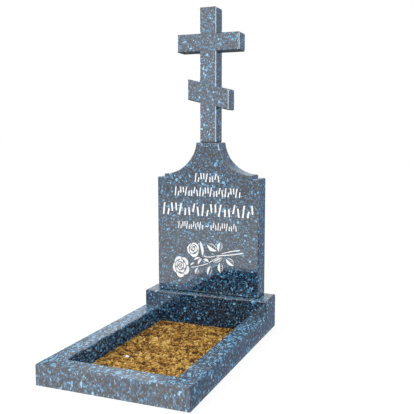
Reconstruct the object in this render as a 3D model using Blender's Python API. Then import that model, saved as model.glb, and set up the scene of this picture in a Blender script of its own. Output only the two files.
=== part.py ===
# Memorial of polished granite: an eight-pointed cross on a shouldered stele, a plinth,
# and a planting bed of sand inside three kerb boards.
# Metres, +Z up. The origin is on the ground, at the middle of the footprint.
# The bed lies towards -Y, so the engraved front of the stele faces -Y.

import math

import bpy
import bmesh
from mathutils import Matrix, Vector

# Footprint: the plinth and the kerb have the same outer width
BED_WIDTH = 0.600
KERB_LENGTH = 0.850
BOARD_WIDTH = 0.080
BOARD_HEIGHT = 0.080
SAND_DEPTH = 0.010
SAND_RIPPLE = 0.0025
SAND_COLUMNS = 10
SAND_ROWS = 16

PLINTH_DEPTH = 0.150
PLINTH_HEIGHT = 0.150

# Stele: a slab with a square step at each shoulder and a concave curve up to the crown
STELE_WIDTH = 0.500
STELE_THICKNESS = 0.100
STELE_HEIGHT = 0.700
STELE_BACK_LEDGE = 0.010
SHOULDER_HEIGHT = 0.540
STEP_WIDTH = 0.035
STEP_HEIGHT = 0.015
CROWN_WIDTH = 0.110
CURVE_CENTRE_RISE = 0.015
CURVE_SEGMENTS = 28

# Cross: one slab with a post, a level upper bar and a slanted lower bar
CROSS_HEIGHT = 0.600
CROSS_THICKNESS = 0.080
POST_WIDTH = 0.080
UPPER_BAR_LENGTH = 0.300
UPPER_BAR_HEIGHT = 0.080
UPPER_BAR_BELOW_TOP = 0.114
LOWER_BAR_LENGTH = 0.200
LOWER_BAR_HEIGHT = 0.093
LOWER_BAR_ABOVE_FOOT = 0.169
LOWER_BAR_SLANT = 14.0

# Finish of every stone arris, and the hairline that each joint keeps
CHAMFER = 0.004
ARRIS_ANGLE = 40.0
SAME_PLANE = 0.000001
JOINT = 0.0003

# Engraving on the stele, fitted into a panel with these margins
ENGRAVING_DEPTH = 0.002
PANEL_SIDE_MARGIN = 0.018
PANEL_FOOT_MARGIN = 0.060
PANEL_RISE_OVER_SHOULDER = 0.022

# The drawing has its own units, about 1 mm each: X from the middle of the sheet, Z from its foot.
# Sheet: width, height
SHEET = (464, 502)

# Clusters of loose strokes, each stroke from foot to head in shares of the cluster
LEANING = ((0.08, 0.00, 0.20, 1.00), (0.50, 0.00, 0.60, 0.52), (0.92, 0.30, 0.86, 1.00))
FALLING = ((0.10, 0.35, 0.06, 1.00), (0.36, 0.00, 0.56, 1.00), (0.90, 0.00, 0.94, 0.60))
CLIMBING = ((0.12, 0.00, 0.06, 0.66), (0.42, 0.28, 0.58, 1.00), (0.94, 0.00, 0.84, 0.74))
DASH = ((0.26, 0.46, 0.74, 0.46),)

# Rows of plain strokes on the drawing: half length, foot, height, clusters from left to right
STROKE_ROWS = (
    (64, 461, 40, (LEANING, FALLING, CLIMBING)),
    (165, 395, 41, (LEANING, FALLING, CLIMBING, LEANING, FALLING, CLIMBING, LEANING, FALLING)),
    (230, 304, 56, (LEANING, FALLING, CLIMBING, LEANING, FALLING, CLIMBING, LEANING)),
    (148, 240, 35, (LEANING, FALLING, CLIMBING, FALLING, DASH, CLIMBING, LEANING, FALLING,
                    CLIMBING)),
)
STROKE_THICKNESS = 0.14
CLUSTER_GAP = 0.16

# Rose spray on the drawing. A flower is rings of petals between standing ridges of stone:
# inner and outer radius and outward swell in shares of the flower, petals, turn, points on an edge
OPEN_ROSE = (
    (0.73, 0.91, 0.16, 5, 0, 6),
    (0.45, 0.58, 0.09, 5, 36, 4),
    (0.22, 0.33, 0.07, 3, 80, 4),
    (0.05, 0.13, 0.04, 2, 20, 3),
)
HALF_OPEN_ROSE = (
    (0.71, 0.88, 0.15, 3, 0, 8),
    (0.39, 0.55, 0.09, 3, 60, 5),
    (0.08, 0.23, 0.07, 2, 30, 4),
)

# Flowers: centre, half width, half height, turn in degrees, drift of the heart in shares, rings
ROSES = (
    ((-131, 58), 41, 49, 45, (-0.16, 0.14), OPEN_ROSE),
    ((-68, 143), 31, 34, -72, (-0.10, 0.26), HALF_OPEN_ROSE),
)
RIDGE = 2.6
PETAL_SPIRAL = 0.036

# Leaves: foot, tip, half width, and the side that is cut out whole, 1 for left and -1 for right
LEAVES = (
    ((50, 145), (0, 173), 15, 1),
    ((59, 141), (69, 189), 12, 1),
    ((94, 114), (134, 82), 14, -1),
    ((65, 92), (69, 43), 12.5, -1),
    ((22, 74), (5, 28), 12, -1),
    ((-42, 60), (-57, 27), 9.5, -1),
    ((82, 115), (30, 88), 7, -1),
)
LEAF_RIB = 2.0
LEAF_RIM = 3.4
LEAF_VEINS = (0.34, 0.52, 0.70)
VEIN_WIDTH = 1.6
VEIN_REACH = 0.72
VEIN_LEAN = 0.10

# Single crescent cuts: foot, tip, bulge of the left and of the right side
SEPALS = (
    ((-21, 113), (-36, 188), 2, -12),
    ((-25, 106), (-45, 74), 3, -9),
    ((-32, 107), (-66, 93), 0, -9),
    ((-84, 66), (-62, 82), 7, -1),
    ((-18, 100), (10, 90), 11, -2),
)

# Stems: foot, tip, bulge to the left, width at the foot and at the tip
STEMS = (
    ((-16, 115), (42, 121), -4.6, 3.4, 4.2),
    ((46, 121), (178, 143), -1.5, 4.4, 5.4),
    ((-80, 58), (6, 83), -2.4, 3.0, 3.8),
    ((10, 85), (62, 118), 1.0, 3.4, 4.0),
    ((72, 132), (162, 155), 2.4, 3.4, 5.4),
)
SHORT_CUT_STEPS = 4
LONG_CUT_STEPS = 6

GRANITE_COLOUR = (0.075, 0.105, 0.155)
GRANITE_ROUGHNESS = 0.08
SAND_COLOUR = (0.46, 0.30, 0.11)
SAND_ROUGHNESS = 0.95


def new_material(name, colour, roughness):
    material = bpy.data.materials.new(name)
    material.use_nodes = True
    shader = material.node_tree.nodes["Principled BSDF"]
    shader.inputs["Base Color"].default_value = (*colour, 1.0)
    shader.inputs["Roughness"].default_value = roughness
    shader.inputs["Metallic"].default_value = 0.0
    material.diffuse_color = (*colour, 1.0)
    return material


def new_collection(name):
    collection = bpy.data.collections.new(name)
    bpy.context.scene.collection.children.link(collection)
    return collection


def add_object(name, mesh, collection):
    thing = bpy.data.objects.new(name, mesh)
    collection.objects.link(thing)
    return thing


def is_flat_seam(edge):
    """True for an edge inside a flat of a slab that still lies level."""
    heights = [vertex.co.z for face in edge.link_faces for vertex in face.verts]
    return max(heights) - min(heights) < SAME_PLANE


def outline_solid(name, outlines, thickness, collection, upright=True):
    """Slab from closed outlines, its mid-plane at the object's origin.

    An upright one has its outlines in X and Z, a flat one in X and Y. Each flat is made one
    face, because a filled curve leaves thin faces there that would stop a chamfer.
    """
    curve = bpy.data.curves.new(name, "CURVE")
    curve.dimensions = "2D"
    curve.fill_mode = "BOTH"
    curve.extrude = thickness / 2
    for outline in outlines:
        spline = curve.splines.new("POLY")
        spline.points.add(len(outline) - 1)
        spline.use_cyclic_u = True
        for point, (across, along) in zip(spline.points, outline):
            point.co = (across, along, 0.0, 1.0)
    sketch = add_object(name + "_sketch", curve, collection)
    bpy.context.view_layer.update()
    depsgraph = bpy.context.evaluated_depsgraph_get()
    mesh = bpy.data.meshes.new_from_object(sketch.evaluated_get(depsgraph))
    bpy.data.objects.remove(sketch)
    mesh.name = name
    shell = bmesh.new()
    shell.from_mesh(mesh)
    bmesh.ops.remove_doubles(shell, verts=shell.verts, dist=0.00001)
    seams = [edge for edge in shell.edges if is_flat_seam(edge)]
    bmesh.ops.dissolve_edges(shell, edges=seams, use_verts=False)
    if upright:
        bmesh.ops.rotate(shell, verts=shell.verts, matrix=Matrix.Rotation(math.radians(90), 3, "X"))
    bmesh.ops.recalc_face_normals(shell, faces=shell.faces)
    shell.to_mesh(mesh)
    shell.free()
    return add_object(name, mesh, collection)


def chamfer_arrises(thing, keep_sharp):
    """Flat chamfer on each outward arris, apart from those that keep_sharp picks by their ends."""
    shell = bmesh.new()
    shell.from_mesh(thing.data)
    arrises = []
    for edge in shell.edges:
        ends = [vertex.co + thing.location for vertex in edge.verts]
        turns_outward = edge.calc_face_angle_signed() > math.radians(ARRIS_ANGLE)
        if turns_outward and not keep_sharp(*ends):
            arrises.append(edge)
    bmesh.ops.bevel(shell, geom=arrises, offset=CHAMFER, segments=1, affect="EDGES",
                    clamp_overlap=True)
    shell.to_mesh(thing.data)
    shell.free()


def on_ground(one, other):
    return max(one.z, other.z) < CHAMFER


def add_block(name, low, high, collection):
    """Box between two corners, its mesh around its own centre."""
    low = Vector(low)
    high = Vector(high)
    mesh = bpy.data.meshes.new(name)
    shell = bmesh.new()
    bmesh.ops.create_cube(shell, size=1.0)
    bmesh.ops.scale(shell, vec=high - low, verts=shell.verts)
    shell.to_mesh(mesh)
    shell.free()
    block = add_object(name, mesh, collection)
    block.location = (low + high) / 2
    return block


# Places that follow from the sizes
TOTAL_LENGTH = KERB_LENGTH + PLINTH_DEPTH
KERB_FRONT = -TOTAL_LENGTH / 2
PLINTH_FRONT = KERB_FRONT + KERB_LENGTH
PLINTH_BACK = PLINTH_FRONT + PLINTH_DEPTH
STELE_BACK = PLINTH_BACK - STELE_BACK_LEDGE
STELE_MIDDLE = STELE_BACK - STELE_THICKNESS / 2
STELE_FRONT = STELE_BACK - STELE_THICKNESS
STELE_FOOT = PLINTH_HEIGHT + JOINT
CROSS_FOOT = STELE_FOOT + STELE_HEIGHT + JOINT


def stele_outline():
    half = STELE_WIDTH / 2
    inner = half - STEP_WIDTH
    curve_foot = SHOULDER_HEIGHT + STEP_HEIGHT
    # The curve is a quarter ellipse about a centre a little above the crown, cut off at the crown
    rise = STELE_HEIGHT + CURVE_CENTRE_RISE - curve_foot
    cut_angle = math.asin(CURVE_CENTRE_RISE / rise)
    reach = (inner - CROWN_WIDTH / 2) / math.cos(cut_angle)
    right = [(half, 0.0), (half, SHOULDER_HEIGHT), (inner, SHOULDER_HEIGHT)]
    for step in range(CURVE_SEGMENTS + 1):
        share = step / CURVE_SEGMENTS
        angle = math.radians(90) + share * (cut_angle - math.radians(90))
        x = inner - reach * math.cos(angle)
        z = curve_foot + rise * (1 - math.sin(angle))
        right.append((x, z))
    left = [(-x, z) for x, z in reversed(right)]
    return right + left


def cross_outline():
    post = POST_WIDTH / 2
    upper = UPPER_BAR_LENGTH / 2
    lower = LOWER_BAR_LENGTH / 2
    upper_top = CROSS_HEIGHT - UPPER_BAR_BELOW_TOP
    upper_foot = upper_top - UPPER_BAR_HEIGHT
    slope = math.tan(math.radians(LOWER_BAR_SLANT))

    def lower_foot(x):
        return LOWER_BAR_ABOVE_FOOT - slope * x

    def lower_top(x):
        return lower_foot(x) + LOWER_BAR_HEIGHT

    return [
        (post, 0.0),
        (post, lower_foot(post)),
        (lower, lower_foot(lower)),
        (lower, lower_top(lower)),
        (post, lower_top(post)),
        (post, upper_foot),
        (upper, upper_foot),
        (upper, upper_top),
        (post, upper_top),
        (post, CROSS_HEIGHT),
        (-post, CROSS_HEIGHT),
        (-post, upper_top),
        (-upper, upper_top),
        (-upper, upper_foot),
        (-post, upper_foot),
        (-post, lower_top(-post)),
        (-lower, lower_top(-lower)),
        (-lower, lower_foot(-lower)),
        (-post, lower_foot(-post)),
        (-post, 0.0),
    ]


def arc_point(foot, tip, share, bulge, offset=0.0):
    """Point at a share of the way along an arc that bulges to the left, moved left by offset."""
    along = Vector(tip) - Vector(foot)
    side = Vector((-along.y, along.x)).normalized()
    point = Vector(foot) + along * share + side * (4 * bulge * share * (1 - share) + offset)
    return point.x, point.y


def crescent_outline(foot, tip, left, right, steps):
    """Closed outline between two arcs from foot to tip, each given by its bulge to the left."""
    forth = [arc_point(foot, tip, step / steps, right) for step in range(steps + 1)]
    back = [arc_point(foot, tip, step / steps, left) for step in range(steps - 1, 0, -1)]
    return forth + back


def band_outline(foot, tip, bulge, foot_width, tip_width, steps):
    """Closed outline of a stroke along an arc, with blunt ends."""
    forth = []
    back = []
    for step in range(steps + 1):
        share = step / steps
        half = (foot_width + (tip_width - foot_width) * share) / 2
        forth.append(arc_point(foot, tip, share, bulge, -half))
        back.append(arc_point(foot, tip, share, bulge, half))
    return forth + back[::-1]


def stroke_outlines(half_length, foot, height, clusters):
    """One row of plain strokes in loose clusters."""
    pitch = 2 * half_length / len(clusters)
    width = pitch * (1 - CLUSTER_GAP)
    thickness = height * STROKE_THICKNESS
    outlines = []
    for place, cluster in enumerate(clusters):
        start = -half_length + pitch * (place + CLUSTER_GAP / 2)
        for foot_x, foot_z, head_x, head_z in cluster:
            low = (start + width * foot_x, foot + height * foot_z)
            high = (start + width * head_x, foot + height * head_z)
            outlines.append(band_outline(low, high, 0.0, thickness, thickness, 1))
    return outlines


def rose_outlines(centre, half_width, half_height, turn, drift, rings):
    """Petals in rings, each winding outward a little, so that it laps over the next one.

    The heart of the flower drifts off its centre, as in a slanting view.
    """

    def around(radius, angle):
        across = radius * math.cos(angle) + drift[0] * (1 - radius)
        along = radius * math.sin(angle) + drift[1] * (1 - radius)
        return centre[0] + half_width * across, centre[1] + half_height * along

    outlines = []
    for inner, outer, swell, petals, ring_turn, steps in rings:
        ridge_angle = RIDGE / ((inner + outer) / 2 * half_width)
        span = math.tau / petals - ridge_angle
        for index in range(petals):
            start = math.radians(turn + ring_turn) + math.tau * index / petals - span / 2
            outer_edge = []
            inner_edge = []
            for step in range(steps + 1):
                share = step / steps
                angle = start + span * share
                winding = PETAL_SPIRAL * (share - 0.5)
                rise = swell * math.sin(math.pi * share)
                outer_edge.append(around(outer + winding + rise, angle))
                inner_edge.append(around(inner + winding, angle))
            outlines.append(outer_edge + inner_edge[::-1])
    return outlines


def leaf_outlines(foot, tip, half_width, whole_side):
    """Leaf with one half cut out whole, and the other one drawn by its rim and veins."""

    def half_outline(near, far):
        bulges = (far * whole_side, near * whole_side)
        return crescent_outline(rib_foot, rib_tip, max(bulges), min(bulges), LONG_CUT_STEPS)

    side = Vector((foot[1] - tip[1], tip[0] - foot[0])).normalized() * LEAF_RIB / 2
    rib_foot = Vector(foot) + side * whole_side
    rib_tip = Vector(tip) + side * whole_side
    outlines = [half_outline(0.0, half_width)]
    rib_foot = Vector(foot) - side * whole_side
    rib_tip = Vector(tip) - side * whole_side
    outlines.append(half_outline(LEAF_RIM - half_width, -half_width))
    for share in LEAF_VEINS:
        end_share = share + VEIN_LEAN
        reach = 4 * (half_width - LEAF_RIM) * end_share * (1 - end_share) * VEIN_REACH
        low = arc_point(rib_foot, rib_tip, share, 0.0, -whole_side * LEAF_RIB / 2)
        high = arc_point(rib_foot, rib_tip, end_share, 0.0, -whole_side * reach)
        outlines.append(band_outline(low, high, 0.0, VEIN_WIDTH, VEIN_WIDTH / 2, 1))
    return outlines


def engraving_outlines():
    outlines = []
    for row in STROKE_ROWS:
        outlines += stroke_outlines(*row)
    for rose in ROSES:
        outlines += rose_outlines(*rose)
    for leaf in LEAVES:
        outlines += leaf_outlines(*leaf)
    for sepal in SEPALS:
        outlines.append(crescent_outline(*sepal, SHORT_CUT_STEPS))
    for stem in STEMS:
        outlines.append(band_outline(*stem, LONG_CUT_STEPS))
    panel_width = STELE_WIDTH - 2 * PANEL_SIDE_MARGIN
    panel_height = SHOULDER_HEIGHT + PANEL_RISE_OVER_SHOULDER - PANEL_FOOT_MARGIN
    unit_x = panel_width / SHEET[0]
    unit_z = panel_height / SHEET[1]
    return [[(x * unit_x, PANEL_FOOT_MARGIN + z * unit_z) for x, z in outline]
            for outline in outlines]


def engrave(stele, cutters):
    """Sink every outline of the drawing into the stele's front."""
    tool = outline_solid("engraving_tool", engraving_outlines(), 2 * ENGRAVING_DEPTH, cutters)
    tool.location = (0.0, STELE_FRONT, STELE_FOOT)
    tool.hide_render = True
    tool.display_type = "WIRE"
    cut = stele.modifiers.new("engraving", "BOOLEAN")
    cut.operation = "DIFFERENCE"
    cut.object = tool
    cut.solver = "EXACT"
    cut.use_self = True


def add_cross(collection):
    cross = outline_solid("cross", [cross_outline()], CROSS_THICKNESS, collection)
    cross.location = (0.0, STELE_MIDDLE, CROSS_FOOT)
    chamfer_arrises(cross, keep_sharp=lambda one, other: False)
    return cross


def add_stele(collection, cutters):
    stele = outline_solid("stele", [stele_outline()], STELE_THICKNESS, collection)
    stele.location = (0.0, STELE_MIDDLE, STELE_FOOT)
    chamfer_arrises(stele, keep_sharp=lambda one, other: False)
    engrave(stele, cutters)
    return stele


def add_plinth(collection):
    half = BED_WIDTH / 2
    plinth = add_block("plinth", (-half, PLINTH_FRONT, 0.0), (half, PLINTH_BACK, PLINTH_HEIGHT),
                       collection)
    chamfer_arrises(plinth, keep_sharp=on_ground)
    return plinth


def add_board(name, outline, collection, keep_end_sharp):
    """Kerb board from its plan outline. Its mitres, its butt end and its underside stay sharp."""
    board = outline_solid(name, [outline], BOARD_HEIGHT, collection, upright=False)
    board.location = (0.0, 0.0, BOARD_HEIGHT / 2)

    def keep_sharp(one, other):
        return on_ground(one, other) or keep_end_sharp(one, other)

    chamfer_arrises(board, keep_sharp)
    return board


def add_kerb(collection):
    half = BED_WIDTH / 2
    inner = half - BOARD_WIDTH
    corner = KERB_FRONT + BOARD_WIDTH
    # Along Y, so that the mitre joint is as wide as the others across its own plane
    mitre_shift = JOINT * math.sqrt(2)
    butt = PLINTH_FRONT - JOINT
    side = [
        (half, KERB_FRONT + mitre_shift),
        (half, butt),
        (inner, butt),
        (inner, corner + mitre_shift),
    ]
    front = [(-half, KERB_FRONT), (half, KERB_FRONT), (inner, corner), (-inner, corner)]

    def across_mitre(one, other):
        """Both ends on the mitre plane of the same corner."""

        def on_mitre(end):
            return abs((half - abs(end.x)) - (end.y - KERB_FRONT)) < CHAMFER / 2

        return one.x * other.x > 0 and on_mitre(one) and on_mitre(other)

    def end_of_side(one, other):
        return across_mitre(one, other) or min(one.y, other.y) > butt - CHAMFER

    boards = [
        add_board("left_board", [(-x, y) for x, y in reversed(side)], collection, end_of_side),
        add_board("right_board", side, collection, end_of_side),
        add_board("front_board", front, collection, across_mitre),
    ]
    return boards


def add_sand(collection):
    """Layer of sand with a gently uneven top, flat below."""
    inner = BED_WIDTH / 2 - BOARD_WIDTH - JOINT
    front = KERB_FRONT + BOARD_WIDTH + JOINT
    back = PLINTH_FRONT - JOINT
    mesh = bpy.data.meshes.new("sand_bed")
    shell = bmesh.new()
    bmesh.ops.create_grid(shell, x_segments=SAND_COLUMNS, y_segments=SAND_ROWS, size=0.5)
    bmesh.ops.scale(shell, vec=(2 * inner, back - front, 1.0), verts=shell.verts)
    bmesh.ops.translate(shell, vec=(0.0, (front + back) / 2, 0.0), verts=shell.verts)
    under = list(shell.verts)
    raised = bmesh.ops.extrude_face_region(shell, geom=list(shell.faces))["geom"]
    top = [part for part in raised if isinstance(part, bmesh.types.BMVert)]
    for vertex in top:
        across = vertex.co.x / inner
        along = (vertex.co.y - front) / (back - front)
        # Two crossing swells, together between -1 and 1
        swell = (math.sin(5 * across + 9 * along) + math.sin(11 * along - 4 * across)) / 2
        vertex.co.z = SAND_DEPTH + SAND_RIPPLE * swell
    for vertex in under:
        vertex.co.z = 0.0
    bmesh.ops.recalc_face_normals(shell, faces=shell.faces)
    shell.to_mesh(mesh)
    shell.free()
    return add_object("sand_bed", mesh, collection)


def main():
    for thing in list(bpy.data.objects):
        bpy.data.objects.remove(thing)
    parts = new_collection("cross_headstone")
    cutters = new_collection("cutters")

    stones = [add_cross(parts), add_stele(parts, cutters), add_plinth(parts)]
    stones += add_kerb(parts)
    for stone in stones:
        stone.data.materials.clear()
        granite = new_material(stone.name + "_granite", GRANITE_COLOUR, GRANITE_ROUGHNESS)
        stone.data.materials.append(granite)
    sand = add_sand(parts)
    sand.data.materials.append(new_material("sand", SAND_COLOUR, SAND_ROUGHNESS))


main()
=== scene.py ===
import math
import random

import bpy
import bmesh
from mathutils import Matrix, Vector, noise


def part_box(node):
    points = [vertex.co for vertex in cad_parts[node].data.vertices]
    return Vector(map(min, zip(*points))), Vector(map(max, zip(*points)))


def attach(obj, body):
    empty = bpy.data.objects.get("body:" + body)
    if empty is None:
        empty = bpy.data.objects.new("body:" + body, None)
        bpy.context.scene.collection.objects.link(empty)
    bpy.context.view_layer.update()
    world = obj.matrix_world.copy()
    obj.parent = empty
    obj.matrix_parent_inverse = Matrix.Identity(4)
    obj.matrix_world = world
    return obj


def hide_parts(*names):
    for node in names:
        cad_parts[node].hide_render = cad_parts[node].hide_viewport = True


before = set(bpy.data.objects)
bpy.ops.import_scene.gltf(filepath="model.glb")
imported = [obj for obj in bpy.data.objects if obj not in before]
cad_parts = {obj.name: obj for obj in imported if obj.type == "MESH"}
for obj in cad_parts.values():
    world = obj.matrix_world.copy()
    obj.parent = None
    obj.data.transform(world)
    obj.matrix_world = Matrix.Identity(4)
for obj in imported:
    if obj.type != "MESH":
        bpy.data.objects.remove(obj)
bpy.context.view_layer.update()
print("frame loaded:", ", ".join(sorted(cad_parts)))


# Working as by hand: one piece picked at a time
def deselectAll():
    if bpy.context.object and bpy.context.object.mode != "OBJECT":
        bpy.ops.object.mode_set(mode="OBJECT")
    bpy.ops.object.select_all(action="DESELECT")


def pick(piece):
    deselectAll()
    piece.select_set(True)
    bpy.context.view_layer.objects.active = piece


def selectEdges(piece, test):
    # Leaves the piece in edit mode with the matching edges selected
    pick(piece)
    bpy.ops.object.mode_set(mode="EDIT")
    bpy.ops.mesh.select_mode(type="EDGE")
    bpy.ops.mesh.select_all(action="DESELECT")
    shell = bmesh.from_edit_mesh(piece.data)
    for edge in shell.edges:
        if test(edge):
            edge.select_set(True)
    shell.select_flush_mode()
    bmesh.update_edit_mesh(piece.data)


def applyModifiers(piece):
    pick(piece)
    for modifier in list(piece.modifiers):
        bpy.ops.object.modifier_apply(modifier=modifier.name)


def rideOnRoot(piece, slotName, *nodes):
    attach(piece, "root")
    if nodes:
        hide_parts(*nodes)
    return piece


# Shader helpers
def newSocket(group, name, direction, kind, default=None):
    socket = group.interface.new_socket(name=name, in_out=direction, socket_type=kind)
    if default is not None:
        socket.default_value = default
    return socket


def newMaterial(name):
    material = bpy.data.materials.new(name)
    material.use_nodes = True
    return material, material.node_tree, material.node_tree.nodes["Principled BSDF"]


def addNode(tree, kind, place, **settings):
    node = tree.nodes.new(kind)
    node.location = place
    for name, value in settings.items():
        setattr(node, name, value)
    return node


def feed(tree, socket, value):
    # value is a number, a colour or another node's socket
    if isinstance(value, (int, float)):
        socket.default_value = value
    elif isinstance(value, tuple):
        socket.default_value = (*value, 1.0)
    else:
        tree.links.new(value, socket)


def addMath(tree, place, operation, first, second, clamp=False):
    node = addNode(tree, "ShaderNodeMath", place, operation=operation, use_clamp=clamp)
    feed(tree, node.inputs[0], first)
    feed(tree, node.inputs[1], second)
    return node.outputs[0]


def addMix(tree, place, factor, first, second, blend="MIX"):
    # Mixes colours, for which this node has the sockets 6 and 7
    node = addNode(tree, "ShaderNodeMix", place, data_type="RGBA", blend_type=blend)
    feed(tree, node.inputs[0], factor)
    feed(tree, node.inputs[6], first)
    feed(tree, node.inputs[7], second)
    return node.outputs[2]


def addNumberMix(tree, place, factor, first, second):
    # Mixes numbers, for which the same node has the sockets 2 and 3
    node = addNode(tree, "ShaderNodeMix", place, data_type="FLOAT")
    feed(tree, node.inputs[0], factor)
    feed(tree, node.inputs[2], first)
    feed(tree, node.inputs[3], second)
    return node.outputs[0]


def addRange(tree, place, value, fromRange, toRange=(0.0, 1.0), kind="LINEAR"):
    span = addNode(tree, "ShaderNodeMapRange", place, interpolation_type=kind)
    for name, number in zip(("From Min", "From Max", "To Min", "To Max"), (*fromRange, *toRange)):
        span.inputs[name].default_value = number
    feed(tree, span.inputs["Value"], value)
    return span.outputs[0]


def addSmoothStep(tree, place, value, fromRange):
    return addRange(tree, place, value, fromRange, kind="SMOOTHSTEP")


def addNoise(tree, place, vector, scale, detail=2.0, roughness=0.5):
    clouds = addNode(tree, "ShaderNodeTexNoise", place)
    feed(tree, clouds.inputs["Vector"], vector)
    clouds.inputs["Scale"].default_value = scale
    clouds.inputs["Detail"].default_value = detail
    clouds.inputs["Roughness"].default_value = roughness
    return clouds


def addCells(tree, place, vector, scale):
    # Cells, and the random numbers that each of them has
    cells = addNode(tree, "ShaderNodeTexVoronoi", place)
    feed(tree, cells.inputs["Vector"], vector)
    feed(tree, cells.inputs["Scale"], scale)
    channels = addNode(tree, "ShaderNodeSeparateColor", (place[0] + 200, place[1]))
    feed(tree, channels.inputs[0], cells.outputs["Color"])
    return cells, channels.outputs


def addRamp(tree, place, value, stops):
    node = addNode(tree, "ShaderNodeValToRGB", place)
    ramp = node.color_ramp
    while len(ramp.elements) < len(stops):
        ramp.elements.new(0.5)
    for element, (position, colour) in zip(ramp.elements, stops):
        element.position = position
        element.color = (*colour, 1.0)
    feed(tree, node.inputs[0], value)
    return node.outputs["Color"]


def addBump(tree, place, height, strength, distance):
    bump = addNode(tree, "ShaderNodeBump", place)
    bump.inputs["Strength"].default_value = strength
    bump.inputs["Distance"].default_value = distance
    feed(tree, bump.inputs["Height"], height)
    return bump.outputs["Normal"]


graniteLook = {
    "grainsPerMetre": 150.0,
    "fleckScale": 1.9,
    "fleckLimit": 0.55,
    "crystalsPerMetre": 108.0,
    "crystalCore": 0.52,
    "clusterSize": 0.11,
    "clusterNoise": (0.30, 0.70),
    "crowding": (0.026, -0.034),
    "mottleSize": 0.010,
    "mottleDetail": 1.0,
    "mottleNoise": (0.36, 0.64),
    "mottle": (0.20, 1.65),
    "waverScale": 130.0,
    "waverDetail": 3.0,
    "warp": 0.009,
    "lamellaeScale": 380.0,
    "lamellaeTone": (0.75, 0.30),
    "roughness": 0.04,
    "hazyRoughness": 0.24,
    "ior": 2.30,
    "ground": (
        (0.00, (0.002, 0.003, 0.006)),
        (0.16, (0.006, 0.009, 0.016)),
        (0.28, (0.045, 0.028, 0.020)),
        (0.38, (0.052, 0.038, 0.036)),
        (0.46, (0.006, 0.020, 0.048)),
        (0.60, (0.010, 0.066, 0.150)),
        (0.71, (0.060, 0.088, 0.122)),
        (0.83, (0.020, 0.135, 0.290)),
        (0.93, (0.095, 0.190, 0.290)),
        (1.00, (0.090, 0.310, 0.510)),
    ),
    "crystal": (
        (0.00, (0.040, 0.170, 0.360)),
        (0.45, (0.110, 0.380, 0.650)),
        (1.00, (0.320, 0.640, 0.830)),
    ),
    # Layers of crystals: turn, stretch, and how few of the cells are crystals
    "layers": (
        ((0.3, 0.5, 0.2), (1.9, 1.25, 1.6), 0.950),
        ((1.2, 0.2, 0.9), (0.66, 1.0, 0.90), 0.965),
        ((2.1, 1.1, 0.4), (0.95, 1.1, 0.70), 0.970),
    ),
    "layerShift": (0.37, 0.11, 0.53),
}


def addCrystals(tree, y, vector, scale, crowding, threshold):
    # Where the crystals of one layer are, and the random numbers of their cells
    crystal, hashed = addCells(tree, (-700, y), vector, scale)
    limit = addMath(tree, (-420, y + 120), "ADD", crowding, threshold)
    chosen = addMath(tree, (-300, y), "GREATER_THAN", hashed[0], limit)
    reach = graniteLook["crystalCore"]
    core = addMath(tree, (-300, y - 160), "LESS_THAN", crystal.outputs["Distance"], reach)
    return addMath(tree, (-100, y), "MULTIPLY", chosen, core), hashed


def addCrystalTint(tree, y, vector, hashed):
    # Each crystal has its own blue, with fine lamellae inside
    spread, drop = graniteLook["lamellaeTone"]
    lamellae = addNoise(tree, (-500, y - 240), vector, graniteLook["lamellaeScale"])
    shade = addMath(tree, (-100, y - 200), "MULTIPLY", hashed[1], spread)
    shade = addMath(tree, (60, y - 200), "ADD", shade, lamellae.outputs["Fac"])
    shade = addMath(tree, (220, y - 200), "SUBTRACT", shade, drop, clamp=True)
    return addRamp(tree, (120, y), shade, graniteLook["crystal"])


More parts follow.
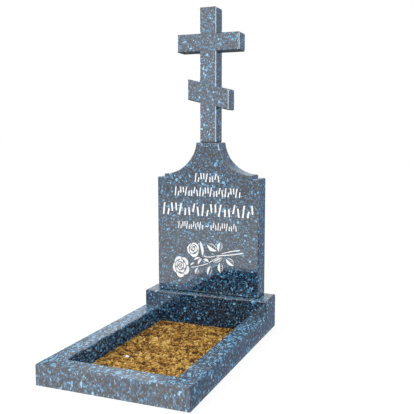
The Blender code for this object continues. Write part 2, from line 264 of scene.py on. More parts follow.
def graniteGroup():
    # Dark ground of small grains, with brighter blue crystals lying three ways
    group = bpy.data.node_groups.new("blueGranite", "ShaderNodeTree")
    newSocket(group, "Vector", "INPUT", "NodeSocketVector")
    newSocket(group, "Grains", "INPUT", "NodeSocketFloat", graniteLook["grainsPerMetre"])
    newSocket(group, "Crystals", "INPUT", "NodeSocketFloat", graniteLook["crystalsPerMetre"])
    newSocket(group, "Abundance", "INPUT", "NodeSocketFloat", 0.0)
    newSocket(group, "Tone", "INPUT", "NodeSocketFloat", 1.0)
    newSocket(group, "Color", "OUTPUT", "NodeSocketColor")
    newSocket(group, "Crystal Mask", "OUTPUT", "NodeSocketFloat")
    entry = addNode(group, "NodeGroupInput", (-1800, 0))
    leave = addNode(group, "NodeGroupOutput", (900, 0))
    links = group.links

    # Warped coordinates, so that no grain is a straight-sided cell
    vector = entry.outputs["Vector"]
    waver = addNoise(group, (-1600, 200), vector, graniteLook["waverScale"], graniteLook["waverDetail"])
    centred = addNode(group, "ShaderNodeVectorMath", (-1400, 200), operation="SUBTRACT")
    centred.inputs[1].default_value = (0.5, 0.5, 0.5)
    links.new(waver.outputs["Color"], centred.inputs[0])
    scaled = addNode(group, "ShaderNodeVectorMath", (-1200, 200), operation="SCALE")
    scaled.inputs["Scale"].default_value = graniteLook["warp"]
    links.new(centred.outputs[0], scaled.inputs[0])
    warped = addNode(group, "ShaderNodeVectorMath", (-1000, 100), operation="ADD")
    links.new(vector, warped.inputs[0])
    links.new(scaled.outputs[0], warped.inputs[1])

    # Ground grains, with smaller flecks among them
    grains = entry.outputs["Grains"]
    grainTone = addCells(group, (-750, 300), warped.outputs[0], grains)[1]
    fleckScale = addMath(group, (-950, 520), "MULTIPLY", grains, graniteLook["fleckScale"])
    fleckTone = addCells(group, (-750, 520), warped.outputs[0], fleckScale)[1]
    isFleck = addMath(group, (-350, 620), "GREATER_THAN", fleckTone[1], graniteLook["fleckLimit"])
    tone = addNumberMix(group, (-200, 500), isFleck, grainTone[0], fleckTone[0])
    ground = addRamp(group, (-50, 400), tone, graniteLook["ground"])

    # Darker and lighter patches a few grains wide
    patchScale = 1.0 / graniteLook["mottleSize"]
    patches = addNoise(group, (-450, 900), vector, patchScale, graniteLook["mottleDetail"])
    noiseRange, toneRange = graniteLook["mottleNoise"], graniteLook["mottle"]
    strength = addRange(group, (-250, 900), patches.outputs["Fac"], noiseRange, toneRange)
    toned = addMath(group, (-50, 800), "MULTIPLY", strength, entry.outputs["Tone"])
    colour = addMix(group, (150, 600), 1.0, ground, toned, "MULTIPLY")

    # Crystals gather in some parts of the stone and are rare in others
    cluster = addNoise(group, (-900, -1500), vector, 1.0 / graniteLook["clusterSize"])
    noiseRange, crowdRange = graniteLook["clusterNoise"], graniteLook["crowding"]
    crowd = addRange(group, (-700, -1500), cluster.outputs["Fac"], noiseRange, crowdRange)
    crowding = addMath(group, (-550, -1500), "SUBTRACT", crowd, entry.outputs["Abundance"])
    crystals = entry.outputs["Crystals"]
    anyCrystal = 0.0
    for index, (turn, stretch, threshold) in enumerate(graniteLook["layers"]):
        y = -100 - 420 * index
        layer = addNode(group, "ShaderNodeMapping", (-900, y))
        layer.inputs["Rotation"].default_value = turn
        layer.inputs["Scale"].default_value = stretch
        layer.inputs["Location"].default_value = Vector(graniteLook["layerShift"]) * index
        links.new(warped.outputs[0], layer.inputs["Vector"])
        mask, hashed = addCrystals(group, y, layer.outputs[0], crystals, crowding, threshold)
        tint = addCrystalTint(group, y, layer.outputs[0], hashed)
        colour = addMix(group, (450, y + 100), mask, colour, tint)
        anyCrystal = addMath(group, (600, y), "MAXIMUM", anyCrystal, mask)
    links.new(colour, leave.inputs["Color"])
    links.new(anyCrystal, leave.inputs["Crystal Mask"])
    return group


# Finishes of one stone: crystals take a little less polish, and tops get a painted sheen
finishes = {
    "crystalRoughness": 0.10,
    "film": (0.120, 0.140, 0.170),
    "filmAmount": 0.60,
    "filmAlong": (-0.02, -0.36),
    "filmAcross": (-0.16, 0.16),
    "filmSize": 0.16,
    "filmDetail": 5.0,
    "filmNoise": (0.38, 0.62),
    "sawnTone": (0.085, 0.088, 0.094),
    "sawnAmount": 0.75,
    "sawnRoughness": 0.8,
    "sawnIor": 1.5,
    "topAbundance": 0.10,
    "topNormal": 0.9,
    "underNormal": -0.5,
}


def addPaintedSheen(tree, place, pattern):
    # Painted sheen: a light veil added to the tops' colour in place of a bright light's reflection, more
    # of it towards the front and the right
    spot = addNode(tree, "ShaderNodeSeparateXYZ", (-800, -400))
    tree.links.new(place, spot.inputs[0])
    along = addSmoothStep(tree, (-600, -400), spot.outputs["Y"], finishes["filmAlong"])
    across = addSmoothStep(tree, (-600, -250), spot.outputs["X"], finishes["filmAcross"])
    patches = addNoise(tree, (-800, -650), pattern, 1.0 / finishes["filmSize"], finishes["filmDetail"])
    spread = addRange(tree, (-600, -650), patches.outputs["Fac"], finishes["filmNoise"])
    amount = addMath(tree, (-400, -500), "MULTIPLY", along, spread)
    amount = addMath(tree, (-300, -350), "MULTIPLY", amount, across)
    return addMath(tree, (-250, -500), "MULTIPLY", amount, finishes["filmAmount"])


def graniteMaterial(name, group, cut, finish):
    # A stone's cut: place of its pattern, stretch of its grains, wealth of crystals, tone of its ground
    shift, stretch, abundance, tone = cut
    material, tree, shader = newMaterial(name)
    coords = addNode(tree, "ShaderNodeTexCoord", (-1000, 0))
    mapping = addNode(tree, "ShaderNodeMapping", (-800, 0))
    mapping.inputs["Location"].default_value = shift
    mapping.inputs["Scale"].default_value = stretch
    tree.links.new(coords.outputs["Object"], mapping.inputs["Vector"])
    if finish == "hazy":
        abundance += finishes["topAbundance"]
    stone = addNode(tree, "ShaderNodeGroup", (-550, 0), node_tree=group)
    tree.links.new(mapping.outputs[0], stone.inputs["Vector"])
    stone.inputs["Abundance"].default_value = abundance
    stone.inputs["Tone"].default_value = tone
    colour = stone.outputs["Color"]
    shader.inputs["IOR"].default_value = graniteLook["ior"]
    if finish == "polished":
        mask, rougher = stone.outputs["Crystal Mask"], finishes["crystalRoughness"]
        added = addMath(tree, (-350, -150), "MULTIPLY", mask, rougher)
        roughness = addMath(tree, (-200, -150), "ADD", added, graniteLook["roughness"])
        tree.links.new(roughness, shader.inputs["Roughness"])
    elif finish == "hazy":
        film = addPaintedSheen(tree, coords.outputs["Object"], mapping.outputs[0])
        # The painted sheen is added onto the stone's colour, so its crystals still show through it
        colour = addMix(tree, (-250, 100), film, colour, finishes["film"], "ADD")
        shader.inputs["Roughness"].default_value = graniteLook["hazyRoughness"]
    else:
        # Painted shade: faces turned down get a matte grey copy of the granite that shows no reflection,
        # so they stay dark and don't shine
        colour = addMix(tree, (-250, 100), finishes["sawnAmount"], colour, finishes["sawnTone"])
        shader.inputs["Roughness"].default_value = finishes["sawnRoughness"]
        shader.inputs["Specular IOR Level"].default_value = 0.0
        shader.inputs["IOR"].default_value = finishes["sawnIor"]
    tree.links.new(colour, shader.inputs["Base Color"])
    return material


def dressGranite(piece, group, cut):
    # Polished sides first, then the tops with their painted sheen, then the undersides with their painted
    # shade
    for finish in ("polished", "hazy", "sawn"):
        name = piece.name + finish.title()
        piece.data.materials.append(graniteMaterial(name, group, cut, finish))
    # Which way a face points picks its painted sheen or painted shade
    for face in piece.data.polygons:
        if face.normal.z > finishes["topNormal"]:
            face.material_index = 1
        elif face.normal.z < finishes["underNormal"]:
            face.material_index = 2


paintLook = {
    "colour": (0.96, 0.96, 0.96),
    "worn": 0.90,
    "wearScale": 140.0,
    "wearDetail": 4.0,
    "wearFrom": 0.30,
    "wearTo": 0.55,
    "bump": 0.25,
    "bumpDepth": 0.0006,
    "roughness": 0.55,
}


def paintMaterial():
    # White enamel in the engraving, a little worn and uneven
    material, tree, shader = newMaterial("engravingPaint")
    coords = addNode(tree, "ShaderNodeTexCoord", (-900, 0))
    scale, detail = paintLook["wearScale"], paintLook["wearDetail"]
    wear = addNoise(tree, (-700, 0), coords.outputs["Object"], scale, detail).outputs["Fac"]
    worn = tuple(paintLook["worn"] * channel for channel in paintLook["colour"])
    stops = ((paintLook["wearFrom"], worn), (paintLook["wearTo"], paintLook["colour"]))
    tree.links.new(addRamp(tree, (-450, 0), wear, stops), shader.inputs["Base Color"])
    normal = addBump(tree, (-300, -250), wear, paintLook["bump"], paintLook["bumpDepth"])
    tree.links.new(normal, shader.inputs["Normal"])
    shader.inputs["Roughness"].default_value = paintLook["roughness"]
    return material


# Stones: each starts as a copy of its solid, welded, with its outward arrises eased a little
stoneFinish = {
    "weld": 0.00002,
    "flat": math.radians(0.4),
    "arrisAngle": math.radians(25),
    "easing": 0.0006,
    "easingSegments": 2,
    "smoothAngle": math.radians(10),
}


def weldedCopy(node, name):
    piece = bpy.data.objects.new(name, bpy.data.objects[node].data.copy())
    bpy.context.scene.collection.objects.link(piece)
    piece.data.materials.clear()
    pick(piece)
    bpy.ops.object.mode_set(mode="EDIT")
    bpy.ops.mesh.select_all(action="SELECT")
    bpy.ops.mesh.remove_doubles(threshold=stoneFinish["weld"])
    bpy.ops.mesh.dissolve_limited(angle_limit=stoneFinish["flat"])
    bpy.ops.object.mode_set(mode="OBJECT")
    return piece


def easeArrises(piece, keep=None):
    def isArris(edge):
        if len(edge.link_faces) != 2 or (keep and keep(edge)):
            return False
        return edge.calc_face_angle_signed() > stoneFinish["arrisAngle"]

    selectEdges(piece, isArris)
    bpy.ops.mesh.bevel(
        offset=stoneFinish["easing"],
        segments=stoneFinish["easingSegments"],
        affect="EDGES",
        clamp_overlap=True,
    )
    bpy.ops.object.mode_set(mode="OBJECT")
    bpy.ops.object.shade_smooth_by_angle(angle=stoneFinish["smoothAngle"])
    # Large flats keep their own normals, and the easing takes up the turn
    weigh = piece.modifiers.new("weighFlats", "WEIGHTED_NORMAL")
    weigh.keep_sharp = True
    applyModifiers(piece)


granite = graniteGroup()
paint = paintMaterial()

# The solid that each stone copies, the stone's name, and its cut
plainStones = {
    "cross": ("polishedCross", ((0.0, 0.0, 0.0), (1.0, 1.0, 1.0), -0.010, 1.0)),
    # The plinth's ground tone of 0.8 is painted shade, for the little light that reaches it low in the
    # bed
    "plinth": ("polishedPlinth", ((0.31, 0.07, 0.19), (1.0, 1.0, 1.0), 0.0, 0.8)),
    "left_board": ("leftKerbBoard", ((0.53, 0.23, 0.41), (1.0, 0.6, 1.0), 0.03, 1.5)),
    "right_board": ("rightKerbBoard", ((0.17, 0.61, 0.29), (1.0, 0.8, 0.75), 0.02, 0.9)),
    "front_board": ("frontKerbBoard", ((0.71, 0.37, 0.83), (1.0, 0.7, 0.6), 0.01, 1.0)),
}
for node, (name, cut) in plainStones.items():
    stone = weldedCopy(node, name)
    easeArrises(stone)
    dressGranite(stone, granite, cut)
    rideOnRoot(stone, "granite", node)
print("plain stones:", len(plainStones))

# The stele keeps its engraving, and what lies sunk in the front is painted
engravedStele = {
    "cut": ((0.91, 0.13, 0.57), (1.0, 1.0, 1.0), -0.010, 1.0),
    "paintFrom": 0.0002,
    "paintTo": 0.0026,
    "sideMargin": 0.008,
    "chamferNormal": (0.3, 0.95),
}
steleLow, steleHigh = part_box("stele")
stele = weldedCopy("stele", "engravedStele")


def isSunk(y, x):
    inside = abs(x) < steleHigh.x - engravedStele["sideMargin"]
    return inside and engravedStele["paintFrom"] < y - steleLow.y < engravedStele["paintTo"]


def bordersCut(edge):
    return any(isSunk(vertex.co.y, vertex.co.x) for face in edge.link_faces for vertex in face.verts)


easeArrises(stele, keep=bordersCut)
dressGranite(stele, granite, engravedStele["cut"])
stele.data.materials.append(paint)
paintSlot = len(stele.data.materials) - 1
flattest, steepest = engravedStele["chamferNormal"]
for face in stele.data.polygons:
    isChamfer = flattest < abs(face.normal.y) < steepest
    if isSunk(face.center.y, face.center.x) and not isChamfer:
        face.material_index = paintSlot
rideOnRoot(stele, "granite", "stele")
print("stele faces:", len(stele.data.polygons))

# Sand: coarse sand in small lumps, closed below, with painted shade in the gaps, loose grit and one pale
# pebble
sandBed = {
    "seed": 7,
    "step": 0.0026,
    "level": 0.0084,
    "lowest": 0.0015,
    "highest": 0.0165,
    "swell": (0.070, 0.0050),
    # Lumps and crumbs: size across and along, height, middle of the dome, and share by their own number
    "lumps": ((0.046, 0.034), 0.0078, 0.55, (0.6, 0.9)),
    "crumbs": ((0.021, 0.016), 0.0046, 0.50, (0.7, 0.7)),
    "fine": (0.0060, 0.0024),
    "fineShift": (9.1, 3.3, 0.0),
    "waver": (0.020, 0.45),
    "crumbWaver": 2.0,
    "domeSlope": 2.3,
    "ownNumberScale": 3.1,
    # Depth in the gaps, and what a lump, a crumb, the fine and both own numbers take from it
    "deepest": 0.95,
    "shallower": (0.30, 0.40, 0.55, 0.20, 0.40),
    "calmEdge": 0.022,
    "calmShare": 0.25,
    "smoothAngle": math.radians(60),
}
# noise_vector takes a seed from the clock, unless it gets one
noise.seed_set(sandBed["seed"])
sandLow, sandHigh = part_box("sand_bed")
sandSize = sandHigh - sandLow
sandMiddle = (sandHigh + sandLow) / 2


def lumpDome(spot, size, waver):
    # 1 on top of a lump and 0 in the gap beside it, with the lump's own number
    distances, centres = noise.voronoi(Vector((spot.x / size[0], spot.y / size[1], 0.0)) + waver)
    dome = min(1.0, sandBed["domeSlope"] * (distances[1] - distances[0]))
    return dome, noise.noise(centres[0] * sandBed["ownNumberScale"])


def domeRise(dome, ownNumber, height, middle, share):
    return height * (dome - middle) * (share[0] + share[1] * ownNumber)


def sandHeight(x, y):
    # Height over the foot of the bed, and how deep the spot lies between the lumps, from 0 to 1
    swellSize, swellHeight = sandBed["swell"]
    lumpSize, *lumpShape = sandBed["lumps"]
    crumbSize, *crumbShape = sandBed["crumbs"]
    fineSize, fineHeight = sandBed["fine"]
    waverSize, waverReach = sandBed["waver"]
    spot = Vector((x, y, 0.0))
    waver = noise.noise_vector(spot / waverSize) * waverReach
    lump, lumpNumber = lumpDome(spot, lumpSize, waver)
    crumb, crumbNumber = lumpDome(spot, crumbSize, waver * sandBed["crumbWaver"])
    fine = noise.noise(spot / fineSize + Vector(sandBed["fineShift"]))
    height = sandBed["level"] + swellHeight * noise.noise(spot / swellSize)
    height += domeRise(lump, lumpNumber, *lumpShape)
    height += domeRise(crumb, crumbNumber, *crumbShape) + fineHeight * fine
    depth = sandBed["deepest"]
    for share, part in zip(sandBed["shallower"], (lump, crumb, fine, lumpNumber, crumbNumber)):
        depth -= share * part
    # Against the walls the sand lies flatter
    edge = min(sandSize.x / 2 - abs(x - sandMiddle.x), sandSize.y / 2 - abs(y - sandMiddle.y))
    calmShare = sandBed["calmShare"]
    calm = calmShare + (1.0 - calmShare) * min(1.0, max(0.0, edge) / sandBed["calmEdge"])
    height = sandBed["level"] + calm * (height - sandBed["level"])
    return max(sandBed["lowest"], min(sandBed["highest"], height)), max(0.0, min(1.0, depth))


sandLook = {
    "tones": (
        (0.00, (0.055, 0.020, 0.003)),
        (0.20, (0.185, 0.078, 0.011)),
        (0.40, (0.480, 0.243, 0.036)),
        (0.60, (0.660, 0.405, 0.084)),
        (0.80, (0.760, 0.540, 0.180)),
        (1.00, (0.900, 0.740, 0.420)),
    ),
    # Scale, detail and roughness of the patches
    "patchNoise": (75.0, 6.0, 0.72),
    "patchMiddle": 0.5,
    "patchShare": 1.25,
    "driest": 0.95,
    "dampName": "damp",
    "grainsPerMetre": 430.0,
    "grainTones": (
        (0.00, (0.30, 0.24, 0.18)),
        (0.20, (0.78, 0.74, 0.68)),
        (0.80, (1.00, 1.00, 1.00)),
        (1.00, (1.30, 1.38, 1.60)),
    ),
    "bump": 0.8,
    "bumpDepth": 0.0012,
    "roughness": 0.9,
    "bounce": (0.050, 0.042, 0.032),
}


def sandMaterial(name):
    material, tree, shader = newMaterial(name)
    coords = addNode(tree, "ShaderNodeTexCoord", (-1300, 0))
    # Painted shade and light: the gaps between the lumps are painted dark and their tops pale, by how
    # deep each spot lies
    patches = addNoise(tree, (-1000, 250), coords.outputs["Object"], *sandLook["patchNoise"])
    patch = addMath(tree, (-900, 400), "SUBTRACT", patches.outputs["Fac"], sandLook["patchMiddle"])
    patch = addMath(tree, (-800, 400), "MULTIPLY", patch, sandLook["patchShare"])
    damp = addNode(tree, "ShaderNodeAttribute", (-1200, 500), attribute_name=sandLook["dampName"])
    paintedLightAndPatch = addMath(tree, (-900, 550), "SUBTRACT", sandLook["driest"], damp.outputs["Fac"])
    paintedLightAndPatch = addMath(tree, (-700, 500), "ADD", paintedLightAndPatch, patch, clamp=True)
    lumpColour = addRamp(tree, (-550, 400), paintedLightAndPatch, sandLook["tones"])
    grainsPerMetre = sandLook["grainsPerMetre"]
    grains, hashed = addCells(tree, (-1000, -100), coords.outputs["Object"], grainsPerMetre)
    grainTone = addRamp(tree, (-580, -100), hashed[0], sandLook["grainTones"])
    colour = addMix(tree, (-300, 100), 1.0, lumpColour, grainTone, "MULTIPLY")
    # Painted shade: reflected and bounced rays see the sand almost black, so little of its colour reaches
    # the stone round it
    path = addNode(tree, "ShaderNodeLightPath", (-500, 700))
    mirrored, scattered = path.outputs["Is Glossy Ray"], path.outputs["Is Diffuse Ray"]
    paintedShadeRays = addMath(tree, (-300, 700), "ADD", mirrored, scattered, clamp=True)
    colour = addMix(tree, (40, 200), paintedShadeRays, colour, sandLook["bounce"])
    tree.links.new(colour, shader.inputs["Base Color"])
    height = grains.outputs["Distance"]
    normal = addBump(tree, (-250, -300), height, sandLook["bump"], sandLook["bumpDepth"])
    tree.links.new(normal, shader.inputs["Normal"])
    shader.inputs["Roughness"].default_value = sandLook["roughness"]
    return material


deselectAll()
bpy.ops.mesh.primitive_grid_add(
    x_subdivisions=round(sandSize.x / sandBed["step"]),
    y_subdivisions=round(sandSize.y / sandBed["step"]),
    size=1.0,
    location=(sandMiddle.x, sandMiddle.y, sandBed["level"]),
)
sand = bpy.context.object
sand.name = "sandBed"
sand.scale = (sandSize.x, sandSize.y, 1.0)
bpy.ops.object.transform_apply(location=True, rotation=True, scale=True)
damp = sand.data.attributes.new(sandLook["dampName"], "FLOAT", "POINT")
# Each spot's height, and its depth between the lumps, which paints shade in the gaps and light on the
# tops; the grit gets its own random tone in the same attribute
for vertex in sand.data.vertices:
    vertex.co.z, damp.data[vertex.index].value = sandHeight(vertex.co.x, vertex.co.y)
selectEdges(sand, lambda edge: edge.is_boundary)
bpy.ops.mesh.extrude_region_move(TRANSFORM_OT_translate={"value": (0.0, 0.0, 0.0)})
bpy.ops.object.mode_set(mode="OBJECT")
for vertex in sand.data.vertices:
    if vertex.select:
        vertex.co.z = sandLow.z
bpy.ops.object.mode_set(mode="EDIT")
bpy.ops.mesh.edge_face_add()
bpy.ops.mesh.select_all(action="SELECT")
bpy.ops.mesh.normals_make_consistent(inside=False)
bpy.ops.object.mode_set(mode="OBJECT")
bpy.ops.object.shade_smooth_by_angle(angle=sandBed["smoothAngle"])
sand.data.materials.append(sandMaterial("goldenSand"))
rideOnRoot(sand, "sand", "sand_bed")
print("sand faces:", len(sand.data.polygons))

# Loose grit: one stone modelled from a cube, and copied over the bed
roughStone = {"cube": 2.0, "unevenness": 1.7, "smoothAngle": math.radians(50)}
grit = {
    "pattern": {"cuts": 1, "roundness": 0.75, "jitter": 0.30, "seed": 4.0},
    "seed": 11,
    "count": 420,
    "radius": (0.0012, 0.0034),
    "smallShare": 2.5,
    "margin": 0.006,
    "lift": 0.15,
    "clearance": 1.8,
    "tilt": 0.5,
    "long": (1.0, 1.5),
    "flat": 0.62,
    "dampShare": 0.30,
    "dampTones": (0.75, 1.0),
    "dryTones": (0.15, 0.5),
}


def gritStone(name, cuts, roundness, jitter, seed):
    # A cube cut once or more, pulled towards a ball and made uneven
    size = roughStone["cube"]
    deselectAll()
    bpy.ops.mesh.primitive_cube_add(size=size, location=(0.0, 0.0, 0.0))
    stone = bpy.context.object
    stone.name = name
    bpy.ops.object.mode_set(mode="EDIT")
    bpy.ops.mesh.select_all(action="SELECT")
    bpy.ops.mesh.subdivide(number_cuts=cuts)
    bpy.ops.transform.tosphere(value=roundness)
    bpy.ops.object.mode_set(mode="OBJECT")
    for vertex in stone.data.vertices:
        spot = vertex.co / size * roughStone["unevenness"] + Vector((seed, 0.0, 0.0))
        vertex.co *= 1.0 + jitter * noise.noise(spot)
    bpy.ops.object.shade_smooth_by_angle(angle=roughStone["smoothAngle"])
    return stone


def scatterGrit(pattern):
    chance = random.Random(grit["seed"])
    reach = sandSize / 2 - Vector((grit["margin"], grit["margin"], 0.0))
    low, high = grit["radius"]
    tilt = grit["tilt"]
    scattered = []
    for index in range(grit["count"]):
        x = sandMiddle.x + chance.uniform(-reach.x, reach.x)
        y = sandMiddle.y + chance.uniform(-reach.y, reach.y)
        radius = low + (high - low) * chance.random() ** grit["smallShare"]
        turn = [chance.uniform(-tilt, tilt), chance.uniform(-tilt, tilt), chance.uniform(0.0, math.tau)]
        length = radius * chance.uniform(*grit["long"])
        tones = grit["dampTones"] if chance.random() < grit["dampShare"] else grit["dryTones"]
        tone = chance.uniform(*tones)
        # On the sand, and with no corner below the ground
        z = max(sandHeight(x, y)[0] + grit["lift"] * radius, grit["clearance"] * radius)
        stone = bpy.data.objects.new("gritStone%03d" % index, pattern.data.copy())
        bpy.context.scene.collection.objects.link(stone)
        stone.location = (x, y, z)
        stone.rotation_euler = turn
        stone.scale = (length, radius, radius * grit["flat"])
        for value in stone.data.attributes.new(sandLook["dampName"], "FLOAT", "POINT").data:
            value.value = tone
        scattered.append(stone)
    return scattered


pattern = gritStone("gritPattern", **grit["pattern"])
scattered = scatterGrit(pattern)
bpy.data.objects.remove(pattern)
deselectAll()
for stone in scattered:
    stone.select_set(True)
bpy.context.view_layer.objects.active = scattered[0]
bpy.ops.object.transform_apply(location=True, rotation=True, scale=True)
bpy.ops.object.join()
looseGrit = bpy.context.object
looseGrit.name = "looseGrit"
looseGrit.data.materials.append(sandMaterial("gritStone"))
rideOnRoot(looseGrit, "sand")
print("grit faces:", len(looseGrit.data.polygons))

pebble = {
    "pattern": {"cuts": 5, "roundness": 1.0, "jitter": 0.22, "seed": 9.0},
    "place": (-0.130, -0.1415),
    "halfSize": (0.0075, 0.0055, 0.0040),
    "lift": 0.35,
    "turn": (0.15, -0.1, 0.4),
    "colour": (0.93, 0.92, 0.88),
    "vein": 0.8,
    "veinScale": 320.0,
    "veinFrom": 0.35,
    "veinTo": 0.50,
    "roughness": 0.45,
}


def addPebble():
    stone = gritStone("palePebble", **pebble["pattern"])
    x, y = pebble["place"]
    stone.location = (x, y, sandHeight(x, y)[0] + pebble["lift"] * pebble["halfSize"][2])
    stone.rotation_euler = pebble["turn"]
    stone.scale = pebble["halfSize"]
    bpy.ops.object.transform_apply(location=True, rotation=True, scale=True)
    material, tree, shader = newMaterial("palePebble")
    coords = addNode(tree, "ShaderNodeTexCoord", (-900, 0))
    clouds = addNoise(tree, (-700, 0), coords.outputs["Object"], pebble["veinScale"])
    vein = tuple(pebble["vein"] * channel for channel in pebble["colour"])
    stops = ((pebble["veinFrom"], vein), (pebble["veinTo"], pebble["colour"]))
    colour = addRamp(tree, (-450, 0), clouds.outputs["Fac"], stops)
    tree.links.new(colour, shader.inputs["Base Color"])
    shader.inputs["Roughness"].default_value = pebble["roughness"]
    stone.data.materials.append(material)
    return stone


palePebble = rideOnRoot(addPebble(), "sand")
print("pebble faces:", len(palePebble.data.polygons))

# Floor, light and camera
white = (1.0, 1.0, 1.0)
studio = {
    "floorSize": 80.0,
    "floorColour": (0.90, 0.90, 0.90),
    "floorRoughness": 0.9,
    "floorShadow": 0.18,
    "floorGlow": 1.05,
    "floorShine": 0.90,
    "floorShineFar": 0.62,
    "farFromY": (-1.5, -6.0),
    "floorShineShaded": 0.29,
    "shadedFromX": (0.24, 0.33),
    "shadedFromY": (-0.62, -0.44),
    "shadedBehindY": (0.45, 0.95),
    "shadedLeftX": (-0.26, -0.33),
    "shadedLeftY": (-0.34, -0.22),
    "shadeTint": (0.84, 1.00, 1.30),
    "cameraPlace": (1.0733, -2.2794, 0.8979),
    "cameraDown": 6.772,
    "cameraTurn": 21.885,
    "lens": 54.887,
    "sensorWidth": 36.0,
}

# The sky's own strength, then what is dimmer or brighter: towards, cosine at its rim and inside, strength
sky = {
    "strength": 1.00,
    "dimTint": (0.86, 1.00, 1.25),
    "patches": (
        ((0.50, 0.86, 0.02), 0.62, 0.90, 0.40),
        ((-0.676, 0.653, 0.342), 0.940, 0.992, 0.12),
        ((-0.415, 0.86, 0.29), 0.972, 0.997, 0.85),
        ((-0.93, 0.36, 0.11), 0.988, 0.994, 4.5),
    ),
}

# Soft lights: place, aimed at, width, height, power, and whether they show in the polish
softLights = {
    "frontKey": ((-1.7, -2.4, 3.1), (0.0, 0.2, 0.5), 2.0, 2.0, 70.0, False),
    "sideEdge": ((3.1, -0.75, 1.42), (0.0, 0.4, 1.10), 1.0, 1.35, 11.0, True),
}


def addFloor():
    deselectAll()
    bpy.ops.mesh.primitive_plane_add(size=studio["floorSize"], location=(0.0, 0.0, 0.0))
    floor = bpy.context.object
    floor.name = "studioFloor"
    material, tree, shader = newMaterial("floorPaint")
    shader.inputs["Base Color"].default_value = (*studio["floorColour"], 1.0)
    shader.inputs["Roughness"].default_value = studio["floorRoughness"]
    shader.inputs["Specular IOR Level"].default_value = 0.0
    # Overexposed as a studio sweep is, so that only a hint of the shadow stays
    glow = addNode(tree, "ShaderNodeEmission", (0, -300))
    glow.inputs["Strength"].default_value = studio["floorGlow"]
    path = addNode(tree, "ShaderNodeLightPath", (-400, 300))
    unshadowed = 1.0 - studio["floorShadow"]
    seen = addMath(tree, (-200, 300), "MULTIPLY", path.outputs["Is Camera Ray"], unshadowed)
    plain = addNode(tree, "ShaderNodeMixShader", (300, 0))
    tree.links.new(seen, plain.inputs[0])
    tree.links.new(shader.outputs[0], plain.inputs[1])
    tree.links.new(glow.outputs[0], plain.inputs[2])
    # Painted reflection: in the polish the floor is a glow, bright in front, with painted shade beside
    # the stone and behind it
    shaded, shine = addPaintedFloorShade(tree)
    mirrored = addNode(tree, "ShaderNodeEmission", (200, -600))
    tint = addMix(tree, (0, -500), shaded, white, studio["shadeTint"])
    tree.links.new(tint, mirrored.inputs["Color"])
    tree.links.new(shine, mirrored.inputs["Strength"])
    finish = addNode(tree, "ShaderNodeMixShader", (500, 0))
    tree.links.new(path.outputs["Is Glossy Ray"], finish.inputs[0])
    tree.links.new(plain.outputs[0], finish.inputs[1])
    tree.links.new(mirrored.outputs[0], finish.inputs[2])
    tree.links.new(finish.outputs[0], tree.nodes["Material Output"].inputs["Surface"])
    floor.data.materials.append(material)


def addPaintedFloorShade(tree):
    # How far each spot has painted shade, and how bright its glow shows in the polish
    coords = addNode(tree, "ShaderNodeTexCoord", (-1000, -600))
    place = addNode(tree, "ShaderNodeSeparateXYZ", (-800, -600))
    tree.links.new(coords.outputs["Object"], place.inputs[0])
    x, y = place.outputs["X"], place.outputs["Y"]
    right = addSmoothStep(tree, (-600, -500), x, studio["shadedFromX"])
    alongRight = addSmoothStep(tree, (-600, -700), y, studio["shadedFromY"])
    besideRight = addMath(tree, (-400, -600), "MULTIPLY", right, alongRight)
    left = addSmoothStep(tree, (-600, -1300), x, studio["shadedLeftX"])
    alongLeft = addSmoothStep(tree, (-600, -1500), y, studio["shadedLeftY"])
    besideLeft = addMath(tree, (-400, -1400), "MULTIPLY", left, alongLeft)
    behind = addSmoothStep(tree, (-600, -900), y, studio["shadedBehindY"])
    shaded = addMath(tree, (-250, -700), "MAXIMUM", besideRight, behind)
    shaded = addMath(tree, (-150, -900), "MAXIMUM", shaded, besideLeft)
    shadeDrop = studio["floorShineShaded"] - studio["floorShine"]
    farDrop = studio["floorShineFar"] - studio["floorShine"]
    shine = addMath(tree, (-100, -700), "MULTIPLY", shaded, shadeDrop)
    shine = addMath(tree, (50, -700), "ADD", shine, studio["floorShine"])
    far = addSmoothStep(tree, (-600, -1100), y, studio["farFromY"])
    fade = addMath(tree, (-400, -1100), "MULTIPLY", far, farDrop)
    return shaded, addMath(tree, (150, -800), "ADD", shine, fade)


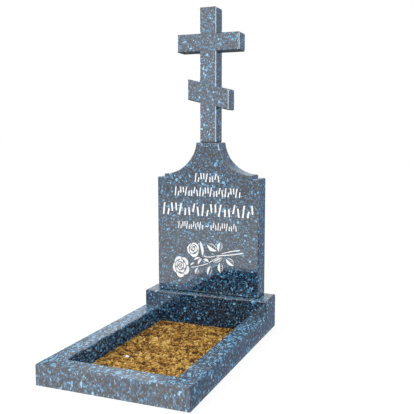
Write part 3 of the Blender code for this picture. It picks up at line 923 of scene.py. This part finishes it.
def addSky():
    # White all round for the camera, and with dim and bright parts for what the stone reflects
    world = bpy.data.worlds.new("studioSky")
    bpy.context.scene.world = world
    world.use_nodes = True
    tree = world.node_tree
    coords = addNode(tree, "ShaderNodeTexCoord", (-1200, 0))
    strength = sky["strength"]
    for index, (towards, rim, inside, level) in enumerate(sky["patches"]):
        y = -250 * index
        facing = addNode(tree, "ShaderNodeVectorMath", (-1000, y), operation="DOT_PRODUCT")
        facing.inputs[1].default_value = Vector(towards).normalized()
        tree.links.new(coords.outputs["Generated"], facing.inputs[0])
        amount = addSmoothStep(tree, (-800, y), facing.outputs["Value"], (rim, inside))
        if index == 0:
            # The widest dim part is blue as well
            tint = addMix(tree, (-300, -400), amount, white, sky["dimTint"])
        strength = addNumberMix(tree, (-600 + 120 * index, y), amount, strength, level)
    seen = addNode(tree, "ShaderNodeLightPath", (-600, 300)).outputs["Is Camera Ray"]
    background = tree.nodes["Background"]
    shown = addNumberMix(tree, (-100, 100), seen, strength, 1.0)
    tree.links.new(shown, background.inputs["Strength"])
    plain = addMix(tree, (-100, -400), seen, tint, white)
    tree.links.new(plain, background.inputs["Color"])


def addSoftLights():
    for name, (place, target, width, height, power, shines) in softLights.items():
        light = bpy.data.lights.new(name, "AREA")
        light.shape = "RECTANGLE"
        light.size = width
        light.size_y = height
        light.energy = power
        lamp = bpy.data.objects.new(name, light)
        bpy.context.scene.collection.objects.link(lamp)
        lamp.location = place
        lamp.rotation_euler = (Vector(target) - Vector(place)).to_track_quat("-Z", "Y").to_euler()
        lamp.visible_camera = False
        lamp.visible_glossy = shines


def addCamera():
    camera = bpy.data.objects.new("camera", bpy.data.cameras.new("camera"))
    bpy.context.scene.collection.objects.link(camera)
    camera.location = studio["cameraPlace"]
    camera.rotation_euler = (
        math.radians(90 - studio["cameraDown"]), 0.0, math.radians(studio["cameraTurn"])
    )
    camera.data.lens = studio["lens"]
    camera.data.sensor_width = studio["sensorWidth"]
    bpy.context.scene.camera = camera
    bpy.context.scene.view_settings.view_transform = "Standard"


addFloor()
addSky()
addSoftLights()
addCamera()
print("studio ready")
